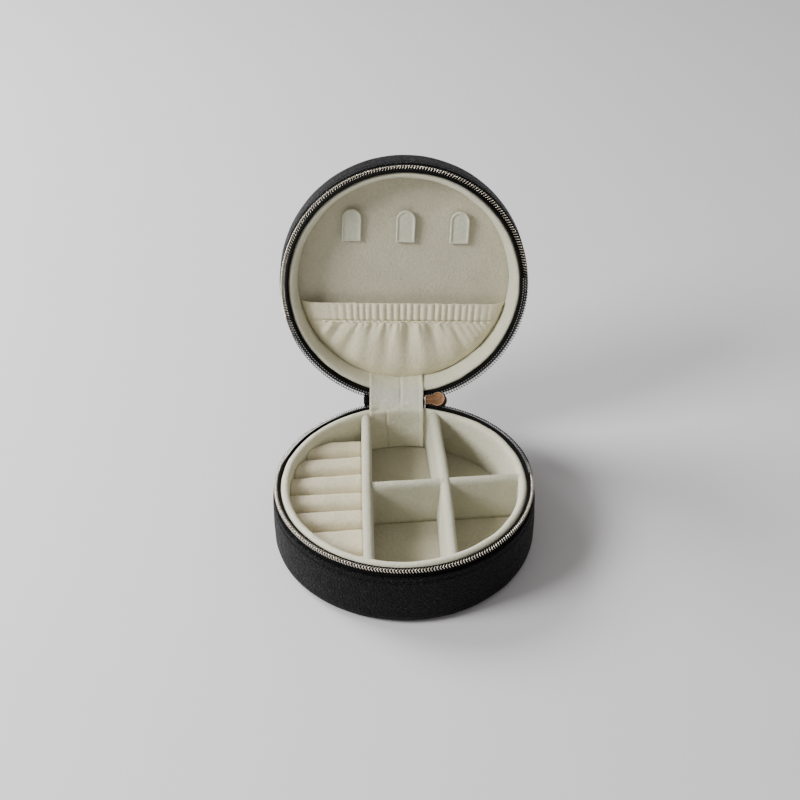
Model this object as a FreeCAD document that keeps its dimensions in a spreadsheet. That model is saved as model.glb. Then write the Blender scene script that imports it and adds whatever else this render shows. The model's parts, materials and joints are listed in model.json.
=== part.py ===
import FreeCAD, Part
import math
import os
from types import SimpleNamespace

import Sketcher
from FreeCAD import Placement, Rotation, Vector

# Round zipped jewellery case, standing open.  Millimetres and degrees.
# The origin is the centre of the base's underside: +Z up, +Y towards the hinge, +X right.
# Every lid part is drawn where it sits with the case closed, and its Placement opens it.

DIMENSIONS = {
    # base shell
    "case_radius": 53.3,
    "leather_height": 24.2,
    "leather_thick": 1.2,
    "edge_round": 4.0,
    "rim_round": 0.4,
    "flange_inner": 44.0,
    "underside_radius": 43.8,
    "board_disc_radius": 49.2,
    "board_thick": 1.5,
    "wall_board_inner": 50.05,
    "wall_board_outer": 51.2,
    "wall_board_foot": 4.3,
    "wall_board_top": 23.8,
    # base lining
    "lining_foot": 3.1,
    "lip_height": 28.0,
    "lip_outer": 49.8,
    "lip_inner": 46.4,
    "lip_round": 1.6,
    "pad_radius": 46.2,
    "pad_top": 6.0,
    "floor_foot": 6.1,
    "floor_top": 8.0,
    "tray_radius": 46.35,
    # dividers
    "divider_thick": 4.2,
    "divider_top": 27.6,
    "left_divider_x": -15.0,
    "right_divider_x": 16.9,
    "right_divider_lean": 4.5,
    "right_divider_bend": 2.5,
    "cross_divider_y": -2.0,
    "cross_divider_yaw": 2.6,
    "cross_divider_lean": 3.5,
    # ring rolls, from the hinge side to the front
    "roll_top": 22.0,
    "roll_gap": 0.12,
    "rolls_back_y": 38.6,
    "roll_1_width": 10.2,
    "roll_2_width": 11.4,
    "roll_3_width": 12.1,
    "roll_4_width": 10.4,
    "roll_5_width": 11.1,
    "roll_6_width": 16.0,
    "roll_7_width": 9.0,
    # zip
    "mating_height": 28.4,
    "tape_inner": 51.35,
    "tape_outer": 51.75,
    "tape_foot": 17.0,
    "tape_top": 26.6,
    "coil_inner": 51.8,
    "coil_outer": 53.05,
    "coil_height": 1.5,
    "coil_gap": 0.4,
    "zip_middle": -94.0,
    "zip_sweep": 314.0,
    # lid shell
    "lid_radius": 52.6,
    "lid_leather_thick": 0.8,
    "lid_edge": 32.4,
    "lid_top": 49.9,
    "lid_edge_round": 5.0,
    "lid_inner_round": 4.2,
    "lid_flange_thick": 0.8,
    "lid_cap_foot": 48.95,
    "lid_cap_top": 50.5,
    "lid_cap_round": 1.2,
    "lid_board_radius": 47.0,
    "lid_board_foot": 47.3,
    "lid_board_top": 48.8,
    "lid_wall_foot": 33.0,
    "lid_wall_top": 46.6,
    "lid_pad_radius": 46.5,
    "lid_pad_foot": 42.0,
    "lid_pad_top": 47.2,
    # lid lining
    "panel_radius": 49.0,
    "panel_front": 40.0,
    "panel_back": 41.9,
    "ring_outer": 49.4,
    "ring_inner": 44.0,
    "ring_crest": 47.0,
    "ring_front": 29.9,
    "ring_back": 39.9,
    "ring_round": 1.6,
    # necklace tabs
    "tab_width": 8.1,
    "tab_height": 14.1,
    "tab_thick": 1.2,
    "tab_spacing": 22.8,
    "tab_foot_y": -16.9,
    "tab_standoff": 4.0,
    "tab_row_turn": -0.5,
    # pocket
    "pocket_turn": -1.3,
    "pocket_radius": 43.1,
    "pocket_mouth_y": 9.1,
    "pocket_depth": 5.2,
    "pocket_cloth": 0.8,
    "hem_height": 8.1,
    "hem_thick": 0.8,
    # hinge
    "hinge_y": 51.9,
    "lid_opening": 103.6,
    "lid_lean": 3.5,
    "hinge_middle": 92.15,
    "hinge_sweep": 28.4,
    "hinge_inner": 53.4,
    "hinge_outer": 54.4,
    "hinge_foot": 9.0,
    "hinge_top": 27.9,
    "lid_hinge_inner": 52.7,
    "lid_hinge_outer": 53.7,
    "lid_hinge_foot": 31.9,
    "lid_hinge_top": 42.5,
    "strap_middle": 91.4,
    "strap_sweep": 27.6,
    "strap_thick": 0.6,
    "strap_inner": 45.7,
    "strap_reach": 49.6,
    # joined end of the zip
    "zip_end_inner": 51.6,
    "zip_end_outer": 52.4,
    "zip_end_middle": 92.6,
    "zip_end_sweep": 28.6,
    "zip_end_half": 1.7,
    # slider and pull
    "slider_angle": 72.1,
    "slider_inner_face": 50.6,
    "slider_inner_back": 51.1,
    "slider_outer_back": 53.4,
    "slider_outer_face": 54.2,
    "slider_tail": 4.7,
    "slider_tail_width": 5.0,
    "slider_head_x": 1.2,
    "slider_head_radius": 3.3,
    "post_width": 1.4,
    "post_height": 0.4,
    "bridge_length": 6.2,
    "bridge_width": 1.2,
    "bridge_leg": 0.9,
    "bridge_bar_foot": 55.9,
    "bridge_bar_top": 56.9,
    "ring_wire": 0.3,
    "pull_ring_radius": 1.75,
    "pull_ring_drop": 0.6,
    "pull_width": 3.8,
    "pull_length": 19.0,
    "pull_thick": 1.0,
    "pull_hole": 0.7,
    "pull_eye_drop": 2.65,
}

ROLLS = 7
BAR_SUNK = 2.0          # how far dividers and rolls are drawn below the floor before they are trimmed
LONGER = 100.0          # the length of a bar before it is trimmed to the tray

doc = FreeCAD.newDocument("JewelleryCase")


# ---------------------------------------------------------------- driving dimensions


class Size:
    """A length or an angle: its value, and the sheet formula that gives it."""

    def __init__(self, value, formula):
        self.value = value
        self.formula = formula

    def joined(self, other, sign, value):
        formula = other.formula if isinstance(other, Size) else repr(other)
        return Size(value, f"({self.formula} {sign} {formula})")

    def __add__(self, other):
        return self.joined(other, "+", self.value + number(other))

    def __sub__(self, other):
        return self.joined(other, "-", self.value - number(other))

    def __mul__(self, other):
        return self.joined(other, "*", self.value * number(other))

    def __truediv__(self, other):
        return self.joined(other, "/", self.value / number(other))


def number(size):
    """The plain value of a Size or of a number."""
    return size.value if isinstance(size, Size) else float(size)


def fill_sheet():
    """The spreadsheet of driving dimensions, and the same names as Sizes."""
    sheet = doc.addObject("Spreadsheet::Sheet", "Dimensions")
    sizes = {}
    for row, (name, value) in enumerate(DIMENSIONS.items(), start=1):
        sheet.set(f"A{row}", name)
        sheet.set(f"B{row}", str(value))
        sheet.setAlias(f"B{row}", name)
        sizes[name] = Size(value, f"Dimensions.{name}")
    doc.recompute()
    return SimpleNamespace(**sizes)


D = fill_sheet()
SUBPARTS = []


# ---------------------------------------------------------------- poses

QUARTER = 90.0
X_AXIS = Vector(1, 0, 0)
Y_AXIS = Vector(0, 1, 0)
Z_AXIS = Vector(0, 0, 1)
PIVOT = Vector(0, number(D.hinge_y), number(D.mating_height))


def opening_turn():
    """The turn that opens the closed lid, with its slight lean to the right."""
    back = Rotation(X_AXIS, -number(D.lid_opening))
    lean = Rotation(Z_AXIS, number(D.lid_lean))
    return back.multiply(lean)


OPENING = opening_turn()
HALF_OPENING = Rotation().slerp(OPENING, 0.5)
LID_OPEN = Placement(Vector(0, 0, 0), OPENING, PIVOT)
ZIP_OPEN = Placement(Vector(0, 0, 0), HALF_OPENING, PIVOT)


def spin(degrees):
    """A turn about the case's vertical axis."""
    return Placement(Vector(0, 0, 0), Rotation(Z_AXIS, degrees))


# ---------------------------------------------------------------- builders


def bind(feature, path, size):
    """Drive one property by the sheet."""
    if isinstance(size, Size):
        feature.setExpression(path, size.formula)
    else:
        setattr(feature, path, size)


def finish(feature, label, place=None):
    """Name a sub-part, put it in its place and keep it for export."""
    feature.Label = label
    if place is not None:
        feature.Placement = place.multiply(feature.Placement)
    SUBPARTS.append(feature)
    return feature


def origin_plane(body, role):
    """The body's own origin plane of that role."""
    return next(item for item in body.Origin.OriginFeatures if item.Role == role)


def new_sketch(body, name, role):
    """A sketch flat on one of the body's origin planes."""
    sketch = body.newObject("Sketcher::SketchObject", name)
    sketch.AttachmentSupport = (origin_plane(body, role), [""])
    sketch.MapMode = "FlatFace"
    return sketch


def hold(sketch, kind, geometry, point, size):
    """Fix one coordinate of a sketch point, driven by the sheet."""
    value = number(size)
    if abs(value) < 1e-9:
        axis = -2 if kind == "DistanceX" else -1
        sketch.addConstraint(Sketcher.Constraint("PointOnObject", geometry, point, axis))
        return
    index = sketch.addConstraint(Sketcher.Constraint(kind, -1, 1, geometry, point, value))
    if isinstance(size, Size):
        sketch.setExpression(f"Constraints[{index}]", size.formula)


def direction(start, end):
    """The unit vector from one point to another."""
    return (end - start).normalize()


def draw_outline(sketch, corners):
    """A closed outline of straight lines.  A corner is (x, y) or (x, y, rounding radius).

    Rounded corners stand between a level and an upright line.
    """
    spots = [Vector(number(c[0]), number(c[1]), 0) for c in corners]
    radii = [number(c[2]) if len(c) > 2 else 0 for c in corners]
    count = len(corners)
    leave = []
    arrive = []
    for i, spot in enumerate(spots):
        before = direction(spots[i - 1], spot)
        after = direction(spot, spots[(i + 1) % count])
        arrive.append(spot - before * radii[i])
        leave.append(spot + after * radii[i])
    lines = []
    for i in range(count):
        lines.append(sketch.addGeometry(Part.LineSegment(leave[i], arrive[(i + 1) % count])))
    for i, corner in enumerate(corners):
        line_in = lines[i - 1]
        line_out = lines[i]
        if radii[i] == 0:
            sketch.addConstraint(Sketcher.Constraint("Coincident", line_in, 2, line_out, 1))
            hold(sketch, "DistanceX", line_out, 1, corner[0])
            hold(sketch, "DistanceY", line_out, 1, corner[1])
        else:
            round_corner(sketch, line_in, line_out, arrive[i], leave[i], spots[i], corner[2])
    for i in range(count):
        level_line(sketch, lines[i], corners[i], corners[(i + 1) % count])


def round_corner(sketch, line_in, line_out, start, end, spot, radius):
    """A tangent arc between two lines, its radius driven by the sheet."""
    centre = start + end - spot
    size = number(radius)
    first = math.atan2(start.y - centre.y, start.x - centre.x)
    last = math.atan2(end.y - centre.y, end.x - centre.x)
    leftward = math.sin(last - first) > 0
    circle = Part.Circle(centre, Z_AXIS, size)
    ends = (first, last) if leftward else (last, first)
    arc = sketch.addGeometry(Part.ArcOfCircle(circle, *ends))
    sketch.addConstraint(Sketcher.Constraint("Tangent", line_in, 2, arc, 1 if leftward else 2))
    sketch.addConstraint(Sketcher.Constraint("Tangent", line_out, 1, arc, 2 if leftward else 1))
    index = sketch.addConstraint(Sketcher.Constraint("Radius", arc, size))
    sketch.setExpression(f"Constraints[{index}]", radius.formula)


def level_line(sketch, line, corner, following):
    """Keep a line beside a rounded corner level or upright, and in its place."""
    rounded = (len(corner) > 2, len(following) > 2)
    if not any(rounded):
        return
    upright = abs(number(corner[0]) - number(following[0])) < 1e-9
    sketch.addConstraint(Sketcher.Constraint("Vertical" if upright else "Horizontal", line))
    if all(rounded):
        hold(sketch, "DistanceX" if upright else "DistanceY", line, 1, corner[0 if upright else 1])


def turned(label, corners, middle=None, sweep=None, place=None):
    """A piece turned about the case's axis: a full ring, or a sector about an angle."""
    body = doc.addObject("PartDesign::Body", label)
    sketch = new_sketch(body, label + "_section", "XZ_Plane")
    draw_outline(sketch, corners)
    turn = body.newObject("PartDesign::Revolution", label + "_turn")
    turn.Profile = sketch
    turn.ReferenceAxis = (sketch, ["V_Axis"])
    if sweep is None:
        turn.Angle = 360
    else:
        bind(turn, "Angle", sweep)
        turn.Midplane = True
    body.Tip = turn
    aim = spin(number(middle)) if middle is not None else Placement()
    body.Placement = aim
    return finish(body, label, place)


def round_topped_bar(name, width, height, length):
    """A bar along local Y with a flat foot and a half-round top, centred on its length."""
    body = doc.addObject("PartDesign::Body", name)
    sketch = new_sketch(body, name + "_section", "XZ_Plane")
    half = number(width) / 2
    shoulder = number(height) - half
    left_foot = Vector(-half, 0, 0)
    right_foot = Vector(half, 0, 0)
    right_top = Vector(half, shoulder, 0)
    left_top = Vector(-half, shoulder, 0)
    foot = sketch.addGeometry(Part.LineSegment(left_foot, right_foot))
    right = sketch.addGeometry(Part.LineSegment(right_foot, right_top))
    circle = Part.Circle(Vector(0, shoulder, 0), Z_AXIS, half)
    crown = sketch.addGeometry(Part.ArcOfCircle(circle, 0, math.pi))
    left = sketch.addGeometry(Part.LineSegment(left_top, left_foot))
    sketch.addConstraint(Sketcher.Constraint("Coincident", foot, 2, right, 1))
    sketch.addConstraint(Sketcher.Constraint("Coincident", left, 2, foot, 1))
    sketch.addConstraint(Sketcher.Constraint("Tangent", right, 2, crown, 1))
    sketch.addConstraint(Sketcher.Constraint("Tangent", left, 1, crown, 2))
    sketch.addConstraint(Sketcher.Constraint("Symmetric", foot, 1, foot, 2, -1, 1))
    sketch.addConstraint(Sketcher.Constraint("Vertical", right))
    index = sketch.addConstraint(Sketcher.Constraint("Distance", foot, number(width)))
    bind(sketch, f"Constraints[{index}]", width)
    rise = sketch.addConstraint(Sketcher.Constraint("Distance", right, shoulder))
    bind(sketch, f"Constraints[{rise}]", height - width / 2)
    pad = body.newObject("PartDesign::Pad", name + "_pad")
    pad.Profile = sketch
    pad.SideType = "Symmetric"
    bind(pad, "Length", length)
    body.Tip = pad
    return body


def cylinder(name, radius, height, foot=0.0):
    """An upright cylinder on the case's axis."""
    shape = doc.addObject("Part::Cylinder", name)
    bind(shape, "Radius", radius)
    bind(shape, "Height", height)
    if isinstance(foot, Size):
        shape.setExpression("Placement.Base.z", foot.formula)
    else:
        shape.Placement.Base.z = foot
    return shape


def box(name, low, high):
    """A box between two corners."""
    shape = doc.addObject("Part::Box", name)
    for axis, side in enumerate(("Length", "Width", "Height")):
        start = low[axis]
        size = high[axis] - start if isinstance(high[axis], Size) else number(high[axis]) - number(start)
        bind(shape, side, size)
        coordinate = "xyz"[axis]
        if isinstance(start, Size):
            shape.setExpression(f"Placement.Base.{coordinate}", start.formula)
        else:
            setattr(shape.Placement.Base, coordinate, start)
    return shape


def boolean(kind, name, base, tool):
    """A Part boolean of two shapes: Cut, Common or Fuse."""
    result = doc.addObject(f"Part::{kind}", name)
    result.Base = base
    result.Tool = tool
    return result


def joined(name, shapes):
    """Several shapes made one."""
    result = doc.addObject("Part::MultiFuse", name)
    result.Shapes = shapes
    result.Refine = True
    return result


def tube(name, inner, outer, foot, height):
    """An upright tube on the case's axis."""
    skin = cylinder(name + "_skin", outer, height, foot)
    core = cylinder(name + "_core", inner, height, foot)
    return boolean("Cut", name, skin, core)


# ---------------------------------------------------------------- base


def make_base_shell():
    """Leather cover, boards and padding of the base."""
    skin = D.case_radius - D.leather_thick
    turned("base_side_leather", [
        (D.flange_inner, 0),
        (D.case_radius, 0, D.edge_round),
        (D.case_radius, D.leather_height, D.rim_round),
        (skin, D.leather_height),
        (skin, D.leather_thick, D.edge_round - D.leather_thick),
        (D.flange_inner, D.leather_thick),
    ])
    disc("base_underside_leather", D.underside_radius, 0, D.leather_thick)
    board_foot = D.leather_thick + 0.1
    disc("base_bottom_board", D.board_disc_radius, board_foot, board_foot + D.board_thick)
    ring("base_wall_board", D.wall_board_inner, D.wall_board_outer, D.wall_board_foot, D.wall_board_top)
    disc("base_foam_pad", D.pad_radius, D.lining_foot, D.pad_top)


def disc(label, radius, foot, top, place=None):
    """A flat round piece on the case's axis."""
    return turned(label, [(0, foot), (radius, foot), (radius, top), (0, top)], place=place)


def ring(label, inner, outer, foot, top, place=None):
    """A plain ring on the case's axis."""
    return turned(label, [(inner, foot), (outer, foot), (outer, top), (inner, top)], place=place)


def make_base_lining():
    """The velvet-covered collar with its rounded lip, and the floor."""
    turned("base_lining_collar", [
        (D.lip_inner, D.lining_foot),
        (D.lip_outer, D.lining_foot),
        (D.lip_outer, D.lip_height, D.lip_round),
        (D.lip_inner, D.lip_height, D.lip_round),
    ])
    disc("base_floor_panel", D.pad_radius, D.floor_foot, D.floor_top)


def tray_space():
    """The room inside the collar, which trims dividers and rolls to fit."""
    clearance = 0.05
    foot = D.floor_top + clearance
    return cylinder("tray_space", D.tray_radius, D.lip_height - foot, foot)


def place_bar(bar, x, y, yaw=0.0, lean=0.0):
    """Stand a bar on the floor, turned about Z and leaned about its own length."""
    stand = Vector(x, y, number(D.floor_top) - BAR_SUNK)
    turn = Rotation(Z_AXIS, yaw).multiply(Rotation(Y_AXIS, lean))
    bar.Placement = Placement(stand, turn)


def divider_bar(name, x, y, yaw=0.0, lean=0.0, length=LONGER):
    """One straight divider, still longer than the tray."""
    height = D.divider_top - D.floor_top + BAR_SUNK
    bar = round_topped_bar(name, D.divider_thick, height, length)
    place_bar(bar, x, y, yaw, lean)
    return bar


def make_dividers(space):
    """One straight divider, one that bends at the middle, and a cross divider in two lengths."""
    left = divider_bar("left_bar", number(D.left_divider_x), 0)
    finish(boolean("Common", "divider_left", left, space), "divider_left")

    middle = number(D.cross_divider_y)
    lean = number(D.right_divider_lean)
    bend = number(D.right_divider_bend)
    half = LONGER / 2
    lap = 0.8
    foot_shift = math.tan(math.radians(lean)) * number(D.divider_top - D.floor_top)
    foot_x = number(D.right_divider_x) - foot_shift
    front = divider_bar("front_bar", foot_x, middle - half / 2, 0, lean, half + lap)
    swing = Vector(-math.sin(math.radians(bend)), math.cos(math.radians(bend)), 0) * (half / 2)
    back = divider_bar("back_bar", foot_x + swing.x, middle + swing.y, bend, lean, half + lap)
    right_bar = joined("right_bar", [front, back])
    right = finish(boolean("Common", "divider_right", right_bar, space), "divider_right")

    yaw = number(D.cross_divider_yaw)
    cross_lean = number(D.cross_divider_lean)
    cross = divider_bar("cross_bar", 0, middle, yaw - 90, -cross_lean)
    crossing = boolean("Common", "cross_in_tray", cross, space)
    open_cross = boolean("Cut", "cross_cut", crossing, right)
    reach = D.tray_radius + 5.0
    left_face = D.left_divider_x + D.divider_thick / 2
    inside_right = D.right_divider_x - lap
    above = D.lip_height + 2.0
    depth = 20.0
    between = box("between_dividers", (left_face, -depth, 0.0), (inside_right, depth, above))
    beside = box("beside_divider", (inside_right, -depth, 0.0), (reach, depth, above))
    finish(boolean("Common", "divider_cross_left", open_cross, between), "divider_cross_left")
    finish(boolean("Common", "divider_cross_right", open_cross, beside), "divider_cross_right")


def make_rolls(space):
    """The row of padded rolls that hold rings, between the collar and the left divider."""
    left_face = D.left_divider_x - D.divider_thick / 2
    room = box("roll_room", (-LONGER, -LONGER, 0.0), (left_face, LONGER, D.lip_height))
    roll_space = boolean("Common", "roll_space", space, room)
    height = D.roll_top - D.floor_top + BAR_SUNK
    middle_x = -LONGER / 2 + number(left_face)
    back = number(D.rolls_back_y)
    for index in range(1, ROLLS + 1):
        width = getattr(D, f"roll_{index}_width")
        bar = round_topped_bar(f"roll_bar_{index}", width - D.roll_gap, height, LONGER)
        place_bar(bar, middle_x, back - number(width) / 2, QUARTER)
        label = f"ring_roll_{index}"
        finish(boolean("Common", label, bar, roll_space), label)
        back -= number(width)


# ---------------------------------------------------------------- zip


def make_zip():
    """Tape and coil of both halves, and the joined end at the hinge."""
    arc = {"middle": D.zip_middle, "sweep": D.zip_sweep}
    base_coil_top = D.mating_height - D.coil_gap
    base_coil_foot = base_coil_top - D.coil_height
    sector("base_zip_tape", D.tape_inner, D.tape_outer, D.tape_foot, D.tape_top, **arc)
    sector("base_zip_coil", D.coil_inner, D.coil_outer, base_coil_foot, base_coil_top, **arc)
    lid_coil_foot = D.mating_height + D.coil_gap
    mirror = D.mating_height * 2
    sector("lid_zip_tape", D.tape_inner, D.tape_outer, mirror - D.tape_top,
           mirror - D.tape_foot - 1.0, place=LID_OPEN, **arc)
    sector("lid_zip_coil", D.coil_inner, D.coil_outer, lid_coil_foot,
           lid_coil_foot + D.coil_height, place=LID_OPEN, **arc)
    sector("zip_joined_end", D.zip_end_inner, D.zip_end_outer, D.mating_height - D.zip_end_half,
           D.mating_height + D.zip_end_half, D.zip_end_middle, D.zip_end_sweep, ZIP_OPEN)


def sector(label, inner, outer, foot, top, middle, sweep, place=None):
    """Part of a plain ring, about an angle."""
    corners = [(inner, foot), (outer, foot), (outer, top), (inner, top)]
    return turned(label, corners, middle, sweep, place)


# ---------------------------------------------------------------- lid


def make_lid_shell():
    """Leather cover, boards and padding of the lid."""
    skin = D.lid_radius - D.lid_leather_thick
    shelf = D.lid_top - D.lid_flange_thick
    turned("lid_side_leather", [
        (skin, D.lid_edge),
        (D.lid_radius, D.lid_edge),
        (D.lid_radius, D.lid_top, D.lid_edge_round),
        (D.flange_inner, D.lid_top),
        (D.flange_inner, shelf),
        (skin, shelf, D.lid_inner_round),
    ], place=LID_OPEN)
    turned("lid_top_leather", [
        (0, D.lid_cap_foot),
        (D.underside_radius, D.lid_cap_foot),
        (D.underside_radius, D.lid_cap_top, D.lid_cap_round),
        (0, D.lid_cap_top),
    ], place=LID_OPEN)
    disc("lid_top_board", D.lid_board_radius, D.lid_board_foot, D.lid_board_top, LID_OPEN)
    ring("lid_wall_board", D.wall_board_inner, D.wall_board_outer, D.lid_wall_foot, D.lid_wall_top, LID_OPEN)
    disc("lid_foam_pad", D.lid_pad_radius, D.lid_pad_foot, D.lid_pad_top, LID_OPEN)


def make_lid_lining():
    """The padded ring round the mouth, and the panel behind it."""
    turned("lid_padded_ring", [
        (D.ring_inner, D.ring_back),
        (D.ring_crest, D.ring_front),
        (D.ring_outer, D.ring_front, D.ring_round),
        (D.ring_outer, D.ring_back),
    ], place=LID_OPEN)
    disc("lid_panel", D.panel_radius, D.panel_front, D.panel_back, LID_OPEN)


def make_tab(label, x):
    """One arch-topped necklace tab, standing off the panel a little at its free end."""
    clear = 0.3
    tab = round_topped_bar(label, D.tab_width, D.tab_height, D.tab_thick)
    foot = Vector(x, number(D.tab_foot_y), number(D.panel_front - D.tab_thick / 2) - clear)
    flat = Rotation(X_AXIS, QUARTER + number(D.tab_standoff))
    tab.Placement = Placement(foot, flat)
    finish(tab, label, LID_OPEN.multiply(spin(number(D.tab_row_turn))))


def make_tabs():
    """The three necklace tabs.  Their heads point away from the hinge."""
    spacing = number(D.tab_spacing)
    for label, x in (("tab_left", -spacing), ("tab_middle", 0.0), ("tab_right", spacing)):
        make_tab(label, x)


def make_pocket():
    """The pocket: a low pouch against the panel, open along its straight mouth, and its elastic hem."""
    place = LID_OPEN.multiply(spin(number(D.pocket_turn)))
    seam = 0.05
    front = D.panel_front - D.pocket_depth
    below = D.lip_height
    above = D.lid_top
    mouth = D.pocket_mouth_y
    pouch = cylinder("pouch_round", D.pocket_radius, D.pocket_depth - seam, front)
    side = box("pouch_side", (-LONGER, mouth, below), (LONGER, LONGER, above))
    outside = boolean("Common", "pouch_outside", pouch, side)
    hollow_radius = D.pocket_radius - D.pocket_cloth
    hollow = cylinder("pouch_hollow", hollow_radius, D.pocket_depth, front + D.pocket_cloth)
    reach = box("pouch_reach", (-LONGER, mouth - 1.0, below), (LONGER, LONGER, above))
    inside = boolean("Common", "pouch_inside", hollow, reach)
    finish(boolean("Cut", "pocket_cloth", outside, inside), "pocket_cloth", place)
    hem_round = cylinder("hem_round", D.pocket_radius, D.hem_thick, front - D.hem_thick - seam)
    hem_strip = box("hem_strip", (-LONGER, mouth, below), (LONGER, mouth + D.hem_height, above))
    finish(boolean("Common", "pocket_hem", hem_round, hem_strip), "pocket_hem", place)


# ---------------------------------------------------------------- hinge


def make_hinge():
    """The leather hinge outside and the lining strap inside, each in a base and a lid length."""
    leather = {"middle": D.hinge_middle, "sweep": D.hinge_sweep}
    sector("hinge_leather_base", D.hinge_inner, D.hinge_outer, D.hinge_foot, D.hinge_top, **leather)
    sector("hinge_leather_lid", D.lid_hinge_inner, D.lid_hinge_outer, D.lid_hinge_foot,
           D.lid_hinge_top, place=LID_OPEN, **leather)
    cloth = D.strap_thick
    over_lip = D.lip_height + 0.1
    strap_foot = D.floor_top + 0.1
    turned("hinge_strap_base", [
        (D.strap_inner, strap_foot),
        (D.strap_inner + cloth, strap_foot),
        (D.strap_inner + cloth, over_lip),
        (D.strap_reach, over_lip),
        (D.strap_reach, over_lip + cloth),
        (D.strap_inner, over_lip + cloth),
    ], D.strap_middle, D.strap_sweep)
    over_ring = D.ring_front - 0.1
    strap_end = D.ring_back - 0.1
    turned("hinge_strap_lid", [
        (D.ring_inner - 0.1, strap_end),
        (D.ring_inner - 0.1 - cloth, strap_end),
        (D.ring_crest - 0.1 - cloth, over_ring - cloth),
        (D.strap_reach, over_ring - cloth),
        (D.strap_reach, over_ring),
        (D.ring_crest - 0.1, over_ring),
    ], D.strap_middle, D.strap_sweep, LID_OPEN)


# ---------------------------------------------------------------- slider and pull

SLIDER_PLACE = ZIP_OPEN.multiply(spin(number(D.slider_angle) - QUARTER))


def cross_rod(name, radius, x, y_low, y_high):
    """A cylinder along Y at mating height."""
    rod = doc.addObject("Part::Cylinder", name)
    bind(rod, "Radius", radius)
    rod.Height = y_high - y_low
    stand = Vector(x, y_high, number(D.mating_height))
    rod.Placement = Placement(stand, Rotation(X_AXIS, QUARTER))
    return rod


def make_slider():
    """The slider, drawn at the back of the closed case: two plates, their post and the bridge."""
    level = D.mating_height
    reach_low = 45.0
    reach_high = 56.0
    tail_low = (D.slider_tail * -1, reach_low, level - D.slider_tail_width / 2)
    tail_high = (D.slider_head_x, reach_high, level + D.slider_tail_width / 2)
    tail = box("slider_tail_outline", tail_low, tail_high)
    head_x = number(D.slider_head_x)
    head = cross_rod("slider_head_outline", D.slider_head_radius, head_x, reach_low, reach_high)
    outline = joined("slider_outline", [tail, head])
    foot = level - 5.0
    inner = tube("slider_inner_tube", D.slider_inner_face, D.slider_inner_back, foot, 10.0)
    outer = tube("slider_outer_tube", D.slider_outer_back, D.slider_outer_face, foot, 10.0)
    inner_plate = boolean("Common", "slider_inner_plate", outline, inner)
    outer_plate = boolean("Common", "slider_outer_plate", outline, outer)
    bite = 0.3
    post_x = D.slider_head_x + 0.6
    post_low = (post_x, D.slider_inner_back - bite, level - D.post_height / 2)
    post_high = (post_x + D.post_width, D.slider_outer_back + bite, level + D.post_height / 2)
    post = box("slider_post", post_low, post_high)
    half_length = D.bridge_length / 2
    half_width = D.bridge_width / 2
    bridge_low = (half_length * -1, D.slider_outer_face - bite, level - half_width)
    bridge = box("bridge_block", bridge_low, (half_length, D.bridge_bar_top, level + half_width))
    leg = D.bridge_leg
    gap_low = ((half_length - leg) * -1, D.slider_outer_face - 1.0, level - 2.0)
    gap = box("bridge_gap", gap_low, (half_length - leg, D.bridge_bar_foot, level + 2.0))
    arch = boolean("Cut", "slider_bridge", bridge, gap)
    slider = joined("slider_body", [inner_plate, outer_plate, post, arch])
    finish(slider, "slider_body", SLIDER_PLACE)


def pull_drop():
    """The pull's hanging direction in the slider's own frame, about the bridge bar."""
    down = SLIDER_PLACE.Rotation.inverted().multVec(Vector(0, 0, -1))
    return math.degrees(math.atan2(down.y, -down.z))


def make_pull():
    """A wire ring round the bridge bar and the pull tab on it, hanging straight down."""
    bar_middle = number(D.bridge_bar_foot + D.bridge_bar_top) / 2
    pivot = Vector(0, bar_middle, number(D.mating_height))
    hang = Placement(pivot, Rotation(X_AXIS, pull_drop()))

    ring_body = doc.addObject("Part::Torus", "pull_ring")
    bind(ring_body, "Radius1", D.pull_ring_radius)
    bind(ring_body, "Radius2", D.ring_wire)
    ring_body.Placement = Placement(Vector(0, 0, -number(D.pull_ring_drop)), Rotation(Y_AXIS, QUARTER))
    finish(ring_body, "pull_ring", SLIDER_PLACE.multiply(hang))

    half = D.pull_width / 2
    eye = number(D.pull_eye_drop)
    strip_low = (half * -1, D.pull_thick / -2, D.pull_eye_drop * -1 - D.pull_length + D.pull_width)
    strip = box("pull_strip", strip_low, (half, D.pull_thick / 2, D.pull_eye_drop * -1))
    length = number(D.pull_length - D.pull_width)
    top = flat_disc("pull_top", half, D.pull_thick, -eye)
    end = flat_disc("pull_end", half, D.pull_thick, -eye - length)
    blank = joined("pull_blank", [strip, top, end])
    hole = flat_disc("pull_hole", D.pull_hole, D.pull_thick * 2, -eye)
    tab = boolean("Cut", "pull_tab", blank, hole)
    finish(tab, "pull_tab", SLIDER_PLACE.multiply(hang))


def flat_disc(name, radius, thick, z):
    """A short cylinder along Y, centred on it."""
    shape = doc.addObject("Part::Cylinder", name)
    bind(shape, "Radius", radius)
    bind(shape, "Height", thick)
    shape.Placement = Placement(Vector(0, number(thick) / 2, z), Rotation(X_AXIS, QUARTER))
    return shape


# ---------------------------------------------------------------- check and write


def check(items):
    """Stop when a feature failed or a sub-part is empty, invalid or not solid."""
    for item in doc.Objects:
        if {"Invalid", "Error"} & set(item.State):
            raise RuntimeError(f"{item.Label}: {item.State}")
    for item in items:
        if item.Shape.isNull() or not item.Shape.isValid():
            raise RuntimeError(f"{item.Label}: bad shape")
        if item.Shape.Volume <= 0 or not item.Shape.Solids:
            raise RuntimeError(f"{item.Label}: no solid")


make_base_shell()
make_base_lining()
SPACE = tray_space()
make_dividers(SPACE)
make_rolls(SPACE)
make_zip()
make_lid_shell()
make_lid_lining()
make_tabs()
make_pocket()
make_hinge()
make_slider()
make_pull()
doc.recompute()
check(SUBPARTS)

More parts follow.
